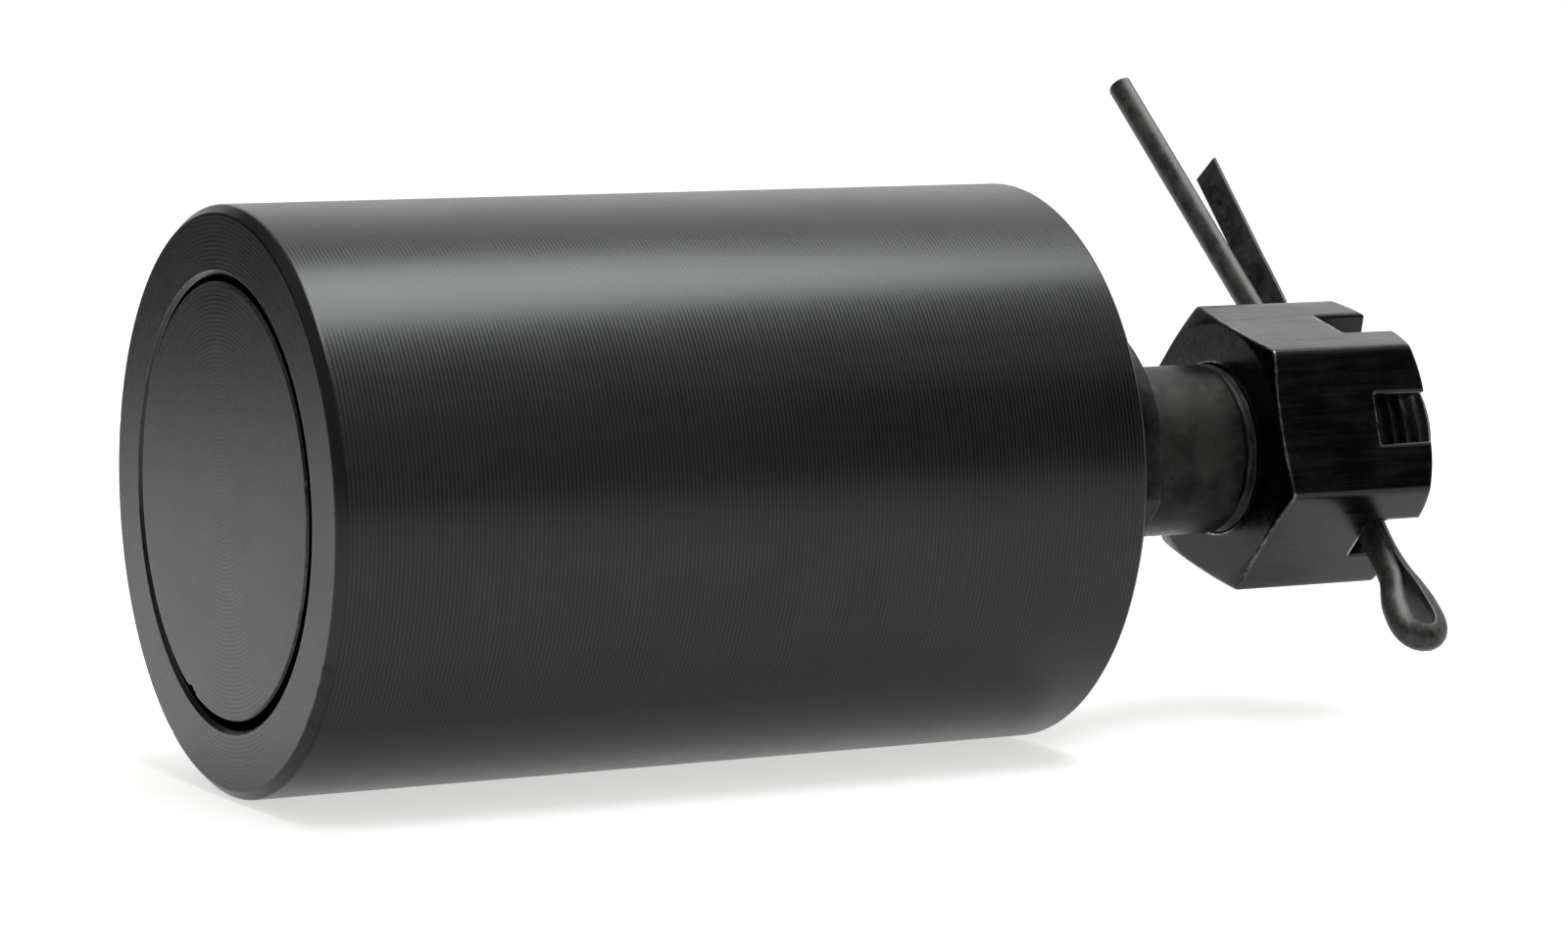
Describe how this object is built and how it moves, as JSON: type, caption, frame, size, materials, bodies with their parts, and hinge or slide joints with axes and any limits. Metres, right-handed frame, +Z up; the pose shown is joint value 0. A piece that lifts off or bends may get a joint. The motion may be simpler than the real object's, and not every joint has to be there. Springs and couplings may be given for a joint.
{
  "type": "stud-mounted roller",
  "caption": "Cantilever roller: a capped cylinder turning on ball bearings round a fixed shouldered stud, held by a slotted hex nut and a split pin.",
  "frame": {"origin": "on the stud's axis, in the plane of the shoulder that seats against the bracket", "axes": "+X along the stud from the roller towards the nut, +Z up, +Y across"},
  "size_m": [0.12, 0.0603, 0.0595],
  "materials": {
    "roller_black_oxide": "turned and black oxide finished, satin, with fine turning rings",
    "nut_black_oxide": "machined and black oxide finished, satin, worn at the edges",
    "stud_phosphate": "turned, oiled phosphate, slightly mottled",
    "pin_steel": "plain dark steel wire, mottled",
    "seal_rubber": "moulded nitrile rubber",
    "cage_brass": "machined",
    "spring_steel": "blued spring steel",
    "shield_steel": "pressed sheet, plain",
    "spacer_steel": "turned, plain",
    "bearing_steel": "ground and polished bearing steel"
  },
  "bodies": {
    "stud_assembly": {"stud": "stud_phosphate", "slotted_nut": "nut_black_oxide", "split_pin": "pin_steel", "stud_retaining_ring": "spring_steel", "bearing_spacer": "spacer_steel", "front_bearing_inner_race": "bearing_steel", "rear_bearing_inner_race": "bearing_steel"},
    "roller": {"roller_shell": "roller_black_oxide", "end_cap": "roller_black_oxide", "cap_o_ring": "seal_rubber", "shell_retaining_ring": "spring_steel", "rear_seal": "seal_rubber", "front_bearing_outer_race": "bearing_steel", "front_shield_front": "shield_steel", "front_shield_rear": "shield_steel", "rear_bearing_outer_race": "bearing_steel", "rear_shield_front": "shield_steel", "rear_shield_rear": "shield_steel"},
    "front_ball_set": {"front_bearing_cage": "cage_brass", "front_ball_1": "bearing_steel", "front_ball_2": "bearing_steel", "front_ball_3": "bearing_steel", "front_ball_4": "bearing_steel", "front_ball_5": "bearing_steel", "front_ball_6": "bearing_steel", "front_ball_7": "bearing_steel", "front_ball_8": "bearing_steel"},
    "rear_ball_set": {"rear_bearing_cage": "cage_brass", "rear_ball_1": "bearing_steel", "rear_ball_2": "bearing_steel", "rear_ball_3": "bearing_steel", "rear_ball_4": "bearing_steel", "rear_ball_5": "bearing_steel", "rear_ball_6": "bearing_steel", "rear_ball_7": "bearing_steel", "rear_ball_8": "bearing_steel"}
  },
  "joints": [
    {"name": "roller_spin", "type": "hinge", "parent": "stud_assembly", "child": "roller", "pos_m": [0, 0, 0], "axis": [1, 0, 0], "continuous": true},
    {"name": "front_ball_orbit", "type": "hinge", "parent": "stud_assembly", "child": "front_ball_set", "pos_m": [0, 0, 0], "axis": [1, 0, 0], "continuous": true},
    {"name": "rear_ball_orbit", "type": "hinge", "parent": "stud_assembly", "child": "rear_ball_set", "pos_m": [0, 0, 0], "axis": [1, 0, 0], "continuous": true}
  ],
  "couplings": [
    {"joint": "front_ball_orbit", "follows": "roller_spin", "ratio": 0.617},
    {"joint": "rear_ball_orbit", "follows": "roller_spin", "ratio": 0.617}
  ]
}
